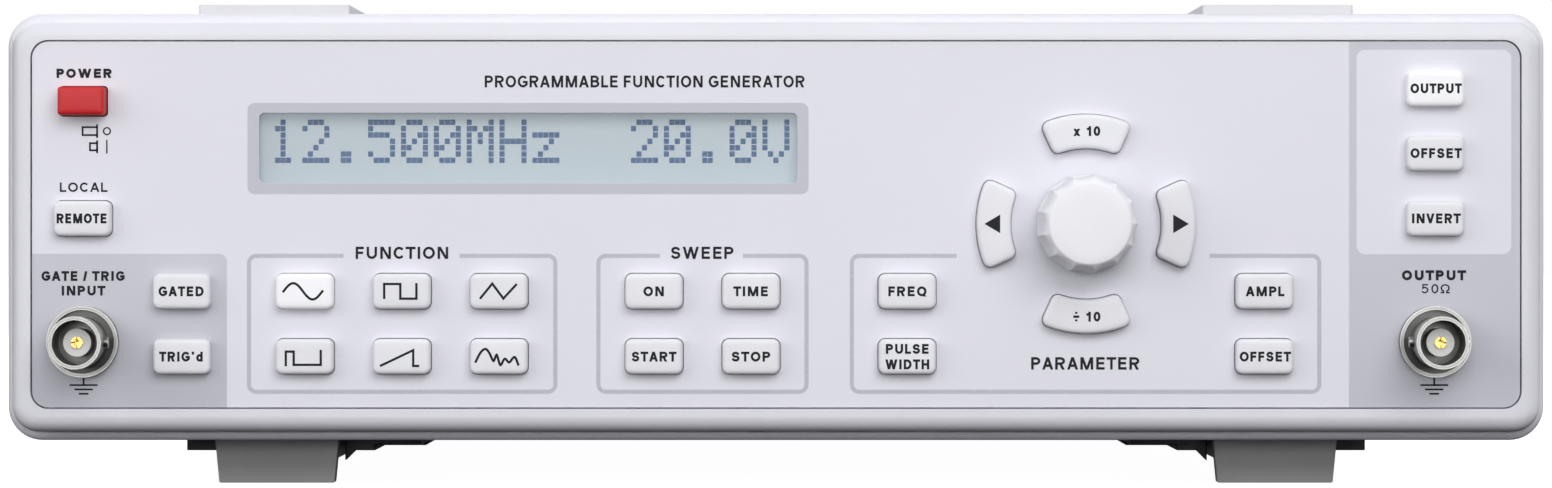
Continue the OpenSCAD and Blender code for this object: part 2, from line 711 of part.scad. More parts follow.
module fasteners() color([0.6, 0.6, 0.62]) {
    nut_r = 7;
    for (sx = [-1, 1], sz = [-1, 1])
        at(sx * frame_screw_x, body_d, mid_z + sz * frame_screw_z) rotate([0, 0, 180]) pan_screw(7);
    for (s = [-1, 1])
        at_rear(plate_x + s * (plate_w / 2 - 3), plate_z) translate([0, -1.2, 0]) pan_screw(1.1);
    for (x = [remote_x, output_x]) at(x, panel_back, socket_z) socket_nut(nut_r);
    for (x = rear_bnc_x) at_rear(x, rear_bnc_z) translate([0, 2, 0]) socket_nut(nut_r);
}

module socket_nut(r) difference() {
    rotate([-90, 0, 0]) rotate([0, 0, 30]) cylinder(r = r, h = 2, $fn = 6);
    translate([0, -1, 0]) rod(bnc_thread_r + 0.05, 4);
}

// ---------------------------------------------------------------- drawing

front_frame();
front_panel();
display_window();
lcd_module();
lcd_glass();
keypad_board();
key_switches();
encoder_body();
encoder_shaft();
parameter_knob();
power_button();
power_push_rod();
mains_switch();
key_local();
key_gated();
key_trig();
key_sine();
key_square();
key_triangle();
key_pulse();
key_sawtooth();
key_arbitrary();
key_sweep_on();
key_sweep_time();
key_sweep_start();
key_sweep_stop();
key_freq();
key_pulse_width();
key_amplitude();
key_param_offset();
key_times_ten();
key_divide_ten();
key_cursor_left();
key_cursor_right();
key_output();
key_dc_offset();
key_invert();
gate_input_socket();
output_socket();
rear_sockets();
socket_insulators();
socket_contacts();
case_sleeve();
side_rails();
rear_frame();
rear_panel();
main_board();
board_components();
transformer();
heat_sink();
wiring();
mains_inlet();
fuse_drawer();
interface_module();
foot_bases();
left_tilt_leg();
right_tilt_leg();
rear_feet();
stacking_pads();
fasteners();
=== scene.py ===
"""Looks of the bench function generator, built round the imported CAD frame."""
import json
import math

import bmesh
import bpy
from mathutils import Matrix, Vector


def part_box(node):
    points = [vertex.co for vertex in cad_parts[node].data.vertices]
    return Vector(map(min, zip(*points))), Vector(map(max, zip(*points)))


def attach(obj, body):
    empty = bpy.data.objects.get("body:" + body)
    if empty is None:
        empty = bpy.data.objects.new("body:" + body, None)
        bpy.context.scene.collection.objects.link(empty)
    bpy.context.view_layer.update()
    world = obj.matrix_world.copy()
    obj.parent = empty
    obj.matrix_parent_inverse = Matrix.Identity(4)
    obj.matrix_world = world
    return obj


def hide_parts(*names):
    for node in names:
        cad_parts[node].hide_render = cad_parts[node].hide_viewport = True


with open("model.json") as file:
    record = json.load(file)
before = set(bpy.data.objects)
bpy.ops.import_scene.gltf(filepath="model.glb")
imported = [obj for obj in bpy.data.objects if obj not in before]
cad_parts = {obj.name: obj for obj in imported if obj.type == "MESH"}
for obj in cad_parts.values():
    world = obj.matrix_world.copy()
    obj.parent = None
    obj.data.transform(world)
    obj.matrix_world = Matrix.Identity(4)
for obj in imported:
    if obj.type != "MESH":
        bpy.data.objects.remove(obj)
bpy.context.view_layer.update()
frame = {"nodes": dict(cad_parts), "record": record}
record = frame["record"]
nodes = frame["nodes"]
scene = bpy.context.scene

MM = 0.001
INK_T = 0.02 * MM          # thickness of a printed layer
LINE_STEP = 0.002 * MM     # difference in depth between crossing lines of one piece
CAMERA_DISTANCE = 0.9      # from the panel, as the sockets' perspective shows
CAMERA_HEIGHT = 45.4 * MM
VIEW_MARGIN = 1.0036       # width of the picture at the panel, over the front frame's width
KEY_NODES = [n for n in nodes if n.startswith("key_") and n != "key_switches"]
NODE_SLOT = {s["node"]: s["material_slot"] for s in record["subparts"]}


def centre(node):
    """Middle of a CAD node's box."""
    lo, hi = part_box(node)
    return (lo + hi) / 2


PANEL_LO, PANEL_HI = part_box("front_panel")
PANEL_Y = PANEL_LO.y
FIELD_TOP = 43             # mm, where the lower half's colours end their fade


# ------------------------------------------------------------------ camera and light

# name, place, target, width and height, and watts of each soft light
LIGHTS = [
    ("top_softbox", (0.1, 0.1, 0.9), (0, 0.05, 0.05), (1.3, 1.0), 1.8),
    ("front_softbox", (0.25, -1.15, 0.62), (0, PANEL_Y, 0.05), (1.0, 0.6), 7.7),
    ("low_fill", (0, -1.3, 0.12), (0, PANEL_Y, 0.03), (1.4, 0.2), 3.6),
    ("left_fill", (-0.9, -0.8, 0.35), (0, 0, 0.05), (0.8, 0.6), 3.8),
    ("right_fill", (1.2, 0.15, 0.45), (0, 0.1, 0.05), (0.8, 0.6), 4),
    ("rear_softbox", (-0.5, 1.0, 0.7), (0, 0.1, 0.05), (1.0, 0.7), 5),
]


def place_camera():
    """Level, square-on view from the distance that the sockets' perspective shows."""
    lo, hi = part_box("front_frame")
    data = bpy.data.cameras.new("camera")
    data.sensor_width = 36
    data.sensor_fit = "HORIZONTAL"
    data.lens = data.sensor_width * CAMERA_DISTANCE / (VIEW_MARGIN * (hi.x - lo.x))
    data.clip_start = 0.01
    data.dof.use_dof = False
    camera = bpy.data.objects.new("camera", data)
    camera.location = (0, PANEL_Y - CAMERA_DISTANCE, CAMERA_HEIGHT)
    camera.rotation_euler = (math.pi / 2, 0, 0)
    scene.collection.objects.link(camera)
    scene.camera = camera


def place_lights():
    """Soft rectangular lights, each aimed at its target."""
    for name, place, target, size, power in LIGHTS:
        data = bpy.data.lights.new(name, "AREA")
        data.shape = "RECTANGLE"
        data.size, data.size_y = size
        data.energy = power
        light = bpy.data.objects.new(name, data)
        light.location = place
        aim = Vector(target) - Vector(place)
        light.rotation_euler = aim.to_track_quat("-Z", "Y").to_euler()
        scene.collection.objects.link(light)


def make_surround():
    """World that lights from above, fading below the horizon; the camera sees it white."""
    world = bpy.data.worlds.new("surround")
    scene.world = world
    world.use_nodes = True
    tree = world.node_tree
    light = tree.nodes["Background"]
    place = tree.nodes.new("ShaderNodeTexCoord")
    split = tree.nodes.new("ShaderNodeSeparateXYZ")
    rise = tree.nodes.new("ShaderNodeMapRange")
    rise.inputs["From Min"].default_value = -0.15
    rise.inputs["From Max"].default_value = 0.35
    rise.inputs["To Min"].default_value = 0.03
    rise.inputs["To Max"].default_value = 0.44
    light.inputs["Color"].default_value = (0.93, 0.94, 1.0, 1)
    tree.links.new(place.outputs["Generated"], split.inputs[0])
    tree.links.new(split.outputs["Z"], rise.inputs["Value"])
    tree.links.new(rise.outputs["Result"], light.inputs["Strength"])
    seen = tree.nodes.new("ShaderNodeBackground")
    seen.inputs["Color"].default_value = (1, 1, 1, 1)
    seen.inputs["Strength"].default_value = 1.0
    path = tree.nodes.new("ShaderNodeLightPath")
    mix = tree.nodes.new("ShaderNodeMixShader")
    tree.links.new(path.outputs["Is Camera Ray"], mix.inputs["Fac"])
    tree.links.new(light.outputs[0], mix.inputs[1])
    tree.links.new(seen.outputs[0], mix.inputs[2])
    tree.links.new(mix.outputs[0], tree.nodes["World Output"].inputs["Surface"])
    scene.view_settings.view_transform = "Standard"


def make_floor():
    """Plain pale floor that throws no light back onto the instrument."""
    material = bpy.data.materials.new("floor")
    material.use_nodes = True
    bsdf = material.node_tree.nodes["Principled BSDF"]
    bsdf.inputs["Base Color"].default_value = (0.4, 0.4, 0.4, 1)
    bsdf.inputs["Roughness"].default_value = 0.9
    bsdf.inputs["Emission Color"].default_value = (1, 1, 1, 1)
    bsdf.inputs["Emission Strength"].default_value = 0.97
    bpy.ops.mesh.primitive_plane_add(size=12, location=(0, 0, 0))
    floor = bpy.context.object
    floor.name = "floor"
    floor.data.materials.append(material)
    floor.visible_diffuse = False
    floor.visible_glossy = False


# ------------------------------------------------------------------ materials

class Shader:
    """A node material with its Principled shader and short ways to add to it."""

    def __init__(self, name, colour, roughness, metallic=0.0):
        self.material = bpy.data.materials.new(name)
        self.material.use_nodes = True
        self.tree = self.material.node_tree
        self.bsdf = self.tree.nodes["Principled BSDF"]
        self.colour = (*colour, 1)
        self.roughness = roughness
        self.bsdf.inputs["Base Color"].default_value = self.colour
        self.bsdf.inputs["Roughness"].default_value = roughness
        self.bsdf.inputs["Metallic"].default_value = metallic
        self.height = None
        self.place = self.tree.nodes.new("ShaderNodeTexCoord").outputs["Object"]

    def node(self, kind, **settings):
        """New shader node with its settings."""
        made = self.tree.nodes.new(kind)
        for key, value in settings.items():
            setattr(made, key, value)
        return made

    def link(self, a, b):
        self.tree.links.new(a, b)

    def noise(self, scale, detail=2.0, stretch=(1, 1, 1)):
        """Noise at a number of features to the metre, stretched along the axes."""
        mapping = self.node("ShaderNodeMapping")
        mapping.inputs["Scale"].default_value = stretch
        self.link(self.place, mapping.inputs["Vector"])
        noise = self.node("ShaderNodeTexNoise")
        noise.inputs["Scale"].default_value = scale
        noise.inputs["Detail"].default_value = detail
        self.link(mapping.outputs[0], noise.inputs["Vector"])
        return noise.outputs["Fac"]

    def spread(self, source, low, high):
        """Maps a 0.3 to 0.7 noise onto low to high."""
        ramp = self.node("ShaderNodeMapRange")
        ramp.inputs["From Min"].default_value = 0.3
        ramp.inputs["From Max"].default_value = 0.7
        ramp.inputs["To Min"].default_value = low
        ramp.inputs["To Max"].default_value = high
        self.link(source, ramp.inputs["Value"])
        return ramp.outputs["Result"]

    def mix_base(self, blend="MIX"):
        """Puts a mix between the present base colour, its A, and the shader."""
        current = self.bsdf.inputs["Base Color"]
        mix = self.node("ShaderNodeMix", data_type="RGBA", blend_type=blend)
        mix.inputs["Factor"].default_value = 1
        if current.is_linked:
            self.link(current.links[0].from_socket, mix.inputs["A"])
        else:
            mix.inputs["A"].default_value = self.colour
        self.link(mix.outputs["Result"], current)
        return mix

    def vary_colour(self, source, amount):
        """Lightens and darkens the colour by a share as the source varies."""
        mix = self.mix_base("MULTIPLY")
        self.link(self.spread(source, 1 - amount, 1 + amount), mix.inputs["B"])

    def vary_roughness(self, source, amount):
        """Raises and lowers the roughness as the source varies."""
        low, high = self.roughness - amount, self.roughness + amount
        self.link(self.spread(source, low, high), self.bsdf.inputs["Roughness"])

    def bump(self, source, depth, strength=1.0):
        """Adds relief of a depth in millimetres."""
        bump = self.node("ShaderNodeBump")
        bump.inputs["Strength"].default_value = strength
        bump.inputs["Distance"].default_value = depth * MM
        self.link(source, bump.inputs["Height"])
        if self.height:
            self.link(self.height, bump.inputs["Normal"])
        self.height = bump.outputs["Normal"]
        self.link(self.height, self.bsdf.inputs["Normal"])

    def paint_edge_highlight(self, colour, width, amount):
        """Painted highlight: blends towards a colour where the surface turns sharply."""
        bevel = self.node("ShaderNodeBevel", samples=4)
        bevel.inputs["Radius"].default_value = width * MM
        geometry = self.node("ShaderNodeNewGeometry")
        dot = self.node("ShaderNodeVectorMath", operation="DOT_PRODUCT")
        self.link(bevel.outputs["Normal"], dot.inputs[0])
        self.link(geometry.outputs["Normal"], dot.inputs[1])
        edge = self.node("ShaderNodeMapRange")
        edge.inputs["From Min"].default_value = 0.98
        edge.inputs["From Max"].default_value = 0.85
        edge.inputs["To Max"].default_value = amount
        self.link(dot.outputs["Value"], edge.inputs["Value"])
        mix = self.mix_base()
        self.link(edge.outputs["Result"], mix.inputs["Factor"])
        mix.inputs["B"].default_value = (*colour, 1)

    def shade_recesses(self, reach, power):
        """Painted shade: darkens the colour inside deep recesses, where shadow falls."""
        open_sky = self.node("ShaderNodeAmbientOcclusion", samples=8)
        open_sky.inputs["Distance"].default_value = reach * MM
        steeper = self.node("ShaderNodeMath", operation="POWER")
        steeper.inputs[1].default_value = power
        self.link(open_sky.outputs["AO"], steeper.inputs[0])
        mix = self.mix_base("MULTIPLY")
        self.link(steeper.outputs[0], mix.inputs["B"])


def powder_coat(name, colour):
    """Fine-texture powder coat: a pebbled skin with faint cloudiness."""
    s = Shader(name, colour, 0.46)
    s.vary_colour(s.noise(35, 3), 0.015)
    s.vary_roughness(s.noise(900, 2), 0.05)
    s.bump(s.noise(2600, 2), 0.03, 0.5)
    s.bump(s.noise(900, 1), 0.02, 0.35)
    return s.material


def satin_panel(name, colour, low=None):
    """Satin printed sheet with a very fine emboss; low is its colour at the panel's foot."""
    s = Shader(name, colour, 0.42)
    if low:
        split = s.node("ShaderNodeSeparateXYZ")
        s.link(s.place, split.inputs[0])
        rise = s.node("ShaderNodeMapRange")
        rise.inputs["From Min"].default_value = PANEL_LO.z
        rise.inputs["From Max"].default_value = FIELD_TOP * MM
        s.link(split.outputs["Z"], rise.inputs["Value"])
        mix = s.node("ShaderNodeMix", data_type="RGBA")
        s.link(rise.outputs["Result"], mix.inputs["Factor"])
        mix.inputs["A"].default_value = (*low, 1)
        mix.inputs["B"].default_value = (*colour, 1)
        s.link(mix.outputs["Result"], s.bsdf.inputs["Base Color"])
    s.vary_colour(s.noise(20, 2), 0.01)
    s.vary_roughness(s.noise(1500, 2), 0.04)
    s.bump(s.noise(4200, 2), 0.012, 0.4)
    return s.material


def moulded(name, colour, roughness=0.4, grain=2400, depth=0.02):
    """Moulded plastic: spark-eroded grain and slight flow marks."""
    s = Shader(name, colour, roughness)
    s.vary_colour(s.noise(60, 3), 0.025)
    s.vary_roughness(s.noise(300, 3), 0.06)
    s.bump(s.noise(grain, 3), depth, 0.5)
    return s.material


def brushed(name, colour, roughness, stretch):
    """Metal with fine lines along the axis that has the small stretch."""
    s = Shader(name, colour, roughness, 1.0)
    lines = s.noise(3000, 3, stretch)
    s.vary_roughness(lines, 0.08)
    s.vary_colour(s.noise(150, 3), 0.03)
    s.bump(lines, 0.004, 0.4)
    return s.material


def plated(name, colour, roughness):
    """Bright plating: smooth, with slow changes of gloss, a painted highlight on its edges and painted shade
    in its recesses.
    """
    s = Shader(name, colour, roughness, 1.0)
    s.vary_colour(s.noise(90, 2), 0.03)
    s.vary_roughness(s.noise(160, 2), 0.05)
    # painted highlight along the plating's edges
    s.paint_edge_highlight((0.9, 0.9, 0.88), 0.3, 0.85)
    # painted shade inside the sockets' recesses
    s.shade_recesses(2.2, 1.5)
    return s.material


def lit_key(name, colour, glow):
    """Key plastic lit from behind."""
    s = Shader(name, colour, 0.4)
    s.bump(s.noise(2400, 3), 0.02, 0.5)
    s.vary_roughness(s.noise(300, 3), 0.06)
    s.vary_colour(s.noise(60, 3), 0.01)
    s.bsdf.inputs["Emission Color"].default_value = (1, 1, 1, 1)
    s.bsdf.inputs["Emission Strength"].default_value = glow
    return s.material


def ink(name, colour):
    """Matt screen-printed ink with slightly uneven cover."""
    s = Shader(name, colour, 0.6)
    s.bsdf.inputs["Specular IOR Level"].default_value = 0.2
    s.vary_colour(s.noise(2500, 2), 0.05)
    s.vary_roughness(s.noise(1800, 2), 0.06)
    return s.material


def clear_window():
    """Clear acrylic with a faint cool tint and almost no relief."""
    s = Shader("window_clear", (0.3, 0.34, 0.35), 0.08)
    s.bsdf.inputs["Alpha"].default_value = 0.08
    s.vary_roughness(s.noise(40, 2), 0.02)
    s.bump(s.noise(30, 1), 0.01, 0.2)
    return s.material


def display_face():
    """Grey-green reflective display with a soft brightness drift and a painted glow that lightens the shade
    of its recess.
    """
    s = Shader("display_face", (0.33, 0.385, 0.415), 0.35)
    s.vary_colour(s.noise(18, 1), 0.04)
    s.vary_roughness(s.noise(800, 2), 0.05)
    # painted glow: a faint emission lifts the display out of the window's shade
    s.bsdf.inputs["Emission Color"].default_value = (0.6, 0.7, 0.75, 1)
    s.bsdf.inputs["Emission Strength"].default_value = 0.3
    return s.material


def circuit_board():
    """Green solder resist over faint copper traces."""
    s = Shader("circuit_board", (0.03, 0.2, 0.09), 0.35)
    s.vary_colour(s.noise(220, 4, (1, 0.15, 1)), 0.3)
    s.vary_roughness(s.noise(400, 2), 0.08)
    s.bump(s.noise(500, 2, (0.2, 1, 1)), 0.03, 0.3)
    return s.material


def laminations():
    """Stacked transformer steel with varnish."""
    s = Shader("laminations", (0.2, 0.16, 0.12), 0.45, 0.3)
    s.bump(s.noise(1400, 1, (0.02, 1, 0.02)), 0.1, 0.7)
    s.vary_colour(s.noise(90, 3), 0.15)
    return s.material


MATERIALS = {
    "frame_paint": powder_coat("frame_paint", (0.675, 0.67, 0.715)),
    "sleeve_paint": powder_coat("sleeve_paint", (0.66, 0.66, 0.71)),
    "rear_panel_paint": powder_coat("rear_panel_paint", (0.62, 0.62, 0.66)),
    "panel_paint": satin_panel("panel_paint", (0.69, 0.685, 0.745)),
    "window_clear": clear_window(),
    "lcd_face": display_face(),
    "lcd_frame": moulded("lcd_frame", (0.04, 0.04, 0.045), 0.35),
    "circuit_board": circuit_board(),
    "black_plastic": moulded("black_plastic", (0.02, 0.02, 0.022), 0.42),
    "encoder_case": brushed("encoder_case", (0.6, 0.6, 0.6), 0.35, (1, 0.05, 1)),
    "turned_steel": brushed("turned_steel", (0.62, 0.62, 0.62), 0.3, (1, 0.05, 1)),
    "knob_plastic": moulded("knob_plastic", (0.78, 0.78, 0.81), 0.42),
    "key_plastic": moulded("key_plastic", (0.725, 0.725, 0.755), 0.42),
    "red_plastic": moulded("red_plastic", (0.52, 0.006, 0.009), 0.5, 1800, 0.01),
    "natural_nylon": moulded("natural_nylon", (0.7, 0.68, 0.6), 0.45),
    "nickel_plate": plated("nickel_plate", (0.36, 0.36, 0.345), 0.33),
    "insulator_white": moulded("insulator_white", (0.62, 0.62, 0.6), 0.5),
    "gold_contact": brushed("gold_contact", (0.95, 0.68, 0.22), 0.2, (1, 0.1, 1)),
    "rail_aluminium": brushed("rail_aluminium", (0.72, 0.73, 0.74), 0.38, (1, 0.05, 1)),
    "component_black": moulded("component_black", (0.03, 0.03, 0.033), 0.4),
    "transformer_steel": laminations(),
    "lead_grey": moulded("lead_grey", (0.3, 0.3, 0.31), 0.5),
    "plated_steel": brushed("plated_steel", (0.66, 0.66, 0.65), 0.3, (1, 0.3, 1)),
    "foot_black": moulded("foot_black", (0.016, 0.016, 0.017), 0.5, 1500, 0.04),
    "leg_grey": moulded("leg_grey", (0.36, 0.36, 0.362), 0.5, 1500, 0.04),
    "pad_grey": moulded("pad_grey", (0.6, 0.6, 0.62), 0.5, 1500, 0.04),
}
INK_BLACK = ink("ink_black", (0.012, 0.012, 0.016))
INK_GREY = ink("ink_grey", (0.48, 0.48, 0.53))
INK_LIGHT = satin_panel("ink_light", (0.69, 0.685, 0.745))
KEY_LIT = lit_key("key_lit", (0.76, 0.76, 0.78), 0.11)
DOT_BLUE = ink("dot_blue", (0.085, 0.15, 0.3))
FIELD_DARK = satin_panel("field_dark", (0.52, 0.52, 0.57), low=(0.455, 0.455, 0.51))
FIELD_RIGHT = satin_panel("field_right", (0.515, 0.515, 0.57), low=(0.485, 0.485, 0.54))
FIELD_DISPLAY = satin_panel("field_display", (0.485, 0.485, 0.535))


def paint(obj, material):
    """Makes the material the object's only one."""
    obj.data.materials.clear()
    obj.data.materials.append(material)


# ------------------------------------------------------------------ mesh tools

def add_piece(name, mesh, material, body):
    """Makes a mesh into a piece that rides on a body."""
    obj = bpy.data.objects.new(name, mesh)
    scene.collection.objects.link(obj)
    paint(obj, material)
    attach(obj, body)
    return obj


def mesh_from(name, bm, smooth=40):
    """Turns the bmesh into a smooth mesh with sharp edges above an angle in degrees."""
    mesh = bpy.data.meshes.new(name)
    bmesh.ops.recalc_face_normals(bm, faces=bm.faces)
    bm.to_mesh(mesh)
    bm.free()
    mesh.shade_smooth()
    mesh.set_sharp_from_angle(angle=math.radians(smooth))
    return mesh


def rounded_outline(x0, x1, z0, z1, r, steps=8):
    """Points round a rectangle, anticlockwise from the front, from its upper right corner.

    r is one corner radius, or four of them in the order of the points.
    """
    radii = r if isinstance(r, (tuple, list)) else (r,) * 4
    points = []
    corners = [(x1, z1, -1, -1), (x0, z1, 1, -1), (x0, z0, 1, 1), (x1, z0, -1, 1)]
    for turn, ((cx, cz, sx, sz), radius) in enumerate(zip(corners, radii)):
        for i in range(steps + 1):
            a = math.radians(90 * turn + 90 * i / steps)
            points.append((cx + radius * (sx + math.cos(a)), cz + radius * (sz + math.sin(a))))
    return points


def printed(name, outlines, y, material, body, thickness=INK_T):
    """Thin flat print facing the front; inner outlines are holes."""
    curve = bpy.data.curves.new(name, "CURVE")
    curve.dimensions = "2D"
    curve.fill_mode = "BOTH"
    curve.extrude = thickness / 2
    for outline in outlines:
        spline = curve.splines.new("POLY")
        spline.points.add(len(outline) - 1)
        for point, (x, z) in zip(spline.points, outline):
            point.co = (x, z, 0, 1)
        spline.use_cyclic_u = True
    obj = bpy.data.objects.new(name, curve)
    scene.collection.objects.link(obj)
    mesh = bpy.data.meshes.new_from_object(obj.evaluated_get(bpy.context.evaluated_depsgraph_get()))
    bpy.data.objects.remove(obj)
    turn = Matrix.Rotation(math.pi / 2, 4, "X")
    mesh.transform(Matrix.Translation((0, y - thickness / 2, 0)) @ turn)
    return add_piece(name, mesh, material, body)


def bow(cx, cz, rx, rz, start, end):
    """Points along part of an ellipse, a step about every 15 degrees."""
    steps = max(2, round(abs(end - start) / 15))
    angles = [math.radians(start + (end - start) * i / steps) for i in range(steps + 1)]
    return [(cx + rx * math.cos(a), cz + rz * math.sin(a)) for a in angles]


def is_steep(points):
    """True for a single straight line nearer upright than level."""
    return len(points) == 2 and abs(points[1][1] - points[0][1]) > 0.8 * abs(points[1][0] - points[0][0])


def stroke_sides(points, width, closed):
    """The two sides of a line of constant width through the points.

    Turns are mitred. A steep single line gets level ends, as the legs of an A have.
    """
    points = [Vector(p) for p in points]
    points = [p for i, p in enumerate(points) if i == 0 or (p - points[i - 1]).length > 1e-8]
    half = width / 2
    if is_steep(points):
        run = points[1] - points[0]
        across = Vector((half * run.length / abs(run.y), 0)) * (1 if run.y < 0 else -1)
        return [p + across for p in points], [p - across for p in points]
    left, right = [], []
    count = len(points)
    for i, p in enumerate(points):
        before = p - points[i - 1] if closed or i else None
        after = points[(i + 1) % count] - p if closed or i + 1 < count else None
        before, after = (before or after).normalized(), (after or before).normalized()
        normal_a = Vector((-before.y, before.x))
        normal_b = Vector((-after.y, after.x))
        mitre = (normal_a + normal_b).normalized()
        reach = half / max(0.55, mitre.dot(normal_a))
        left.append(p + mitre * reach)
        right.append(p - mitre * reach)
    return left, right


def add_stroke(bm, points, width, front, back, closed=False):
    """Adds a line of constant width, upright, between two depths along +Y."""
    left, right = stroke_sides(points, width, closed)
    rows = []
    for a, b in zip(left, right):
        rows.append([bm.verts.new((q.x, y, q.y)) for q, y in ((a, front), (b, front), (b, back), (a, back))])
    pairs = list(zip(rows, rows[1:]))
    if closed:
        pairs.append((rows[-1], rows[0]))
    else:
        bm.faces.new(rows[0])
        bm.faces.new(rows[-1][::-1])
    for row_a, row_b in pairs:
        for i in range(4):
            j = (i + 1) % 4
            bm.faces.new((row_a[j], row_a[i], row_b[i], row_b[j]))


def stroke_piece(name, strokes, width, front, back, material, body):
    """One piece made of several lines; each is its points and whether it is closed.

    Neighbours that cross differ a little in depth.
    """
    bm = bmesh.new()
    for i, (points, closed) in enumerate(strokes):
        add_stroke(bm, points, width, front - (i % 5) * LINE_STEP, back, closed)
    return add_piece(name, mesh_from(name, bm, 30), material, body)


# ------------------------------------------------------------------ lofted pieces

KNOB = centre("parameter_knob")
KEY_W, KEY_H, KEY_R = 10.4 * MM, 6.3 * MM, 1.2 * MM
BUTTON_W, BUTTON_H, BUTTON_R = 8.5 * MM, 5.2 * MM, 0.6 * MM
# Inner and outer radius, half angle and corner radius of the keys round the knob.
ARC_INNER, ARC_OUTER, ARC_HALF, ARC_CORNER = 14.0 * MM, 20.1 * MM, math.radians(24.5), 1.3 * MM
SHARPEST = 0.05 * MM       # smallest corner radius

def skin(bm, rings):
    """Joins rings of vertices, the front one first, into a closed stack."""
    for ring_a, ring_b in zip(rings, rings[1:]):
        count = len(ring_a)
        for i in range(count):
            j = (i + 1) % count
            bm.faces.new((ring_a[i], ring_a[j], ring_b[j], ring_b[i]))
    bm.faces.new(rings[0][::-1])
    bm.faces.new(rings[-1])


def loft(name, contour, front, rows, material, body):
    """Closed stack of rings; each row is an inset and a depth behind the front, in millimetres.

    contour(inset) gives the points of the ring, all with the same count.
    """
    bm = bmesh.new()
    rings = []
    for inset, depth in rows:
        rings.append([bm.verts.new((x, front + depth * MM, z)) for x, z in contour(inset * MM)])
    skin(bm, rings)
    return add_piece(name, mesh_from(name, bm), material, body)


def key_contour(middle, w, h, r):
    """Rounded rectangle about a middle point, drawn in by an inset."""
    def contour(inset):
        x, z = middle.x, middle.z
        half_w, half_h = w / 2 - inset, h / 2 - inset
        corner = max(r - inset, SHARPEST)
        return rounded_outline(x - half_w, x + half_w, z - half_h, z + half_h, corner)
    return contour


def arc_contour(angle):
    """Key shape round the knob, centred on an angle, drawn in by an inset."""
    inner, outer, half = ARC_INNER, ARC_OUTER, ARC_HALF
    turn = math.radians(angle)

    def polar(r, a, cx=0.0, cz=0.0):
        return cx + r * math.cos(a), cz + r * math.sin(a)

    def contour(inset):
        c = max(ARC_CORNER, inset + SHARPEST)
        rho = c - inset
        out_a = half - math.asin(c / (outer - c))
        in_a = half - math.asin(c / (inner + c))
        side = half + math.pi / 2
        points = [polar(outer - inset, out_a * (i / 8 - 1)) for i in range(17)][:-1]
        centre_1 = polar(outer - c, out_a)
        points += [polar(rho, out_a + (side - out_a) * i / 6, *centre_1) for i in range(7)]
        centre_2 = polar(inner + c, in_a)
        points += [polar(rho, side + (in_a + math.pi - side) * i / 6, *centre_2) for i in range(7)]
        points += [polar(inner + inset, in_a * (1 - i / 6)) for i in range(1, 6)]
        upper = points[8:]
        lower = [(x, -z) for x, z in upper[::-1] if abs(z) > 1e-9]
        whole = upper + lower
        across, up = math.cos(turn), math.sin(turn)
        return [(KNOB.x + x * across - z * up, KNOB.z + x * up + z * across) for x, z in whole]
    return contour


# ------------------------------------------------------------------ keys, knob and button

ARC_KEYS = {"key_cursor_right": 0, "key_times_ten": 90, "key_cursor_left": 180, "key_divide_ten": 270}
LIT_KEYS = ("key_sine", "key_output")
# Rows of inset and depth behind the face, in millimetres.
KEY_CROWN = [(2.7, 0.0), (1.5, 0.005), (0.8, 0.02), (0.45, 0.06), (0.24, 0.14), (0.06, 0.29),
             (-0.05, 0.5), (-0.1, 0.8)]
KEY_BACK = [(-0.1, 4.85), (-0.9, 4.9), (-0.9, 5.75)]
BUTTON_ROWS = [(2.2, 0), (1.2, 0.02), (0.6, 0.07), (0.28, 0.17), (0.08, 0.38), (0, 0.7),
               (0, 6.85), (-0.8, 6.9), (-0.8, 7.9)]
# Radius in millimetres, share of the flat cuts and millimetres behind the face.
KNOB_ROWS = [(0.6, 0, 0), (3.0, 0, 0.01), (5.6, 0, 0.04), (6.9, 0, 0.1), (7.35, 0.05, 0.19),
             (7.65, 0.25, 0.38), (8.1, 0.65, 0.78), (8.55, 1, 1.3), (8.75, 1, 1.8), (8.83, 1, 2.6),
             (8.9, 1, 4.4), (9.02, 1, 7.6), (9.15, 1, 10.6), (9.22, 1, 12.1), (9.25, 0.6, 12.6),
             (9.1, 0.5, 12.84)]
KNOB_CUTS = 13
KNOB_SMOOTH = 14           # degrees; small, so that the edges between the cuts show
CUT_STEPS = 12             # points along a cut
CUT_HOLLOW = 0.035         # how far a cut's middle is hollowed, in parts of the radius


def make_keys():
    """Crowned keys in place of the plain CAD ones, each with the stem behind it."""
    for node in KEY_NODES:
        if node in ARC_KEYS:
            contour = arc_contour(ARC_KEYS[node])
        else:
            contour = key_contour(centre(node), KEY_W, KEY_H, KEY_R)
        material = KEY_LIT if node in LIT_KEYS else MATERIALS["key_plastic"]
        name = node.replace("key_", "keycap_")
        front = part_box(node)[0].y
        piece = loft(name, contour, front, KEY_CROWN + KEY_BACK, material, node)
        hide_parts(node)


def make_power_button():
    """Softly crowned button in place of the plain CAD one."""
    contour = key_contour(centre("power_button"), BUTTON_W, BUTTON_H, BUTTON_R)
    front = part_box("power_button")[0].y
    piece = loft("power_button_cap", contour, front, BUTTON_ROWS, MATERIALS["red_plastic"], "power")
    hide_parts("power_button")


def cut_ring(radius, cut):
    """Circle whose cuts go a share of the way to hollowed flats."""
    points = []
    half = math.pi / KNOB_CUTS
    for i in range(KNOB_CUTS * CUT_STEPS):
        a = 2 * math.pi * i / (KNOB_CUTS * CUT_STEPS)
        off = ((i % CUT_STEPS) / CUT_STEPS * 2 - 1) * half
        flat = math.cos(half) / math.cos(off)
        hollow = 1 - CUT_HOLLOW * cut * (1 - (off / half) ** 2)
        r = radius * ((1 - cut) + cut * flat * hollow)
        points.append((r * math.cos(a), r * math.sin(a)))
    return points


